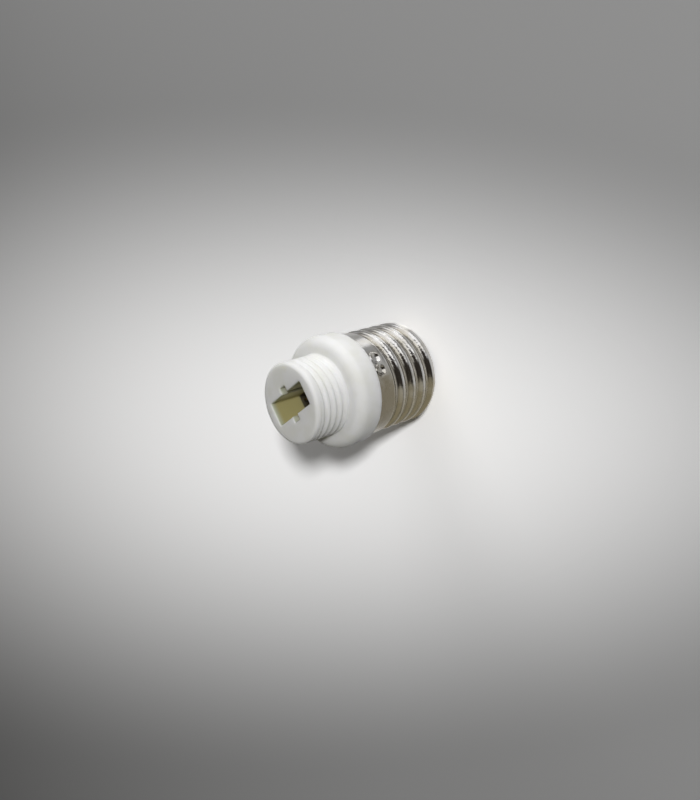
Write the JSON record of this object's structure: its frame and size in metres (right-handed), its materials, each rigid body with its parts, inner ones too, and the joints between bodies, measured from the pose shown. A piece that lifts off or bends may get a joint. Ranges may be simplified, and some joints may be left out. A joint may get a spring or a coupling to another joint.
{
  "type": "lamp socket adapter",
  "caption": "Screw-cap lamp socket adapter: a white moulded body with a flat two-pin lamp slot in a threaded nose, a round collar and a rolled metal screw shell with a centre contact.",
  "frame": {"origin": "middle of the centre contact's flat lower face, on which the part stands", "axes": "+Z along the screw axis from the cap up to the nose with the lamp slot, +X along the slot's length"},
  "size_m": [0.0282, 0.0282, 0.0433],
  "materials": {
    "body_white": "matte moulded white",
    "shell_nickel": "nickel-plated rolled sheet",
    "insulator": "black moulded insulator",
    "contact_metal": "nickel-plated contact",
    "clip_metal": "bare spring brass",
    "plate_board": "pressed insulating board"
  },
  "bodies": {
    "root": {"socket_body": "body_white", "screw_shell": "shell_nickel", "end_insulator": "insulator", "centre_contact": "contact_metal", "contact_clip_centre": "clip_metal", "contact_clip_shell": "clip_metal", "retaining_plate": "plate_board"}
  },
  "joints": []
}
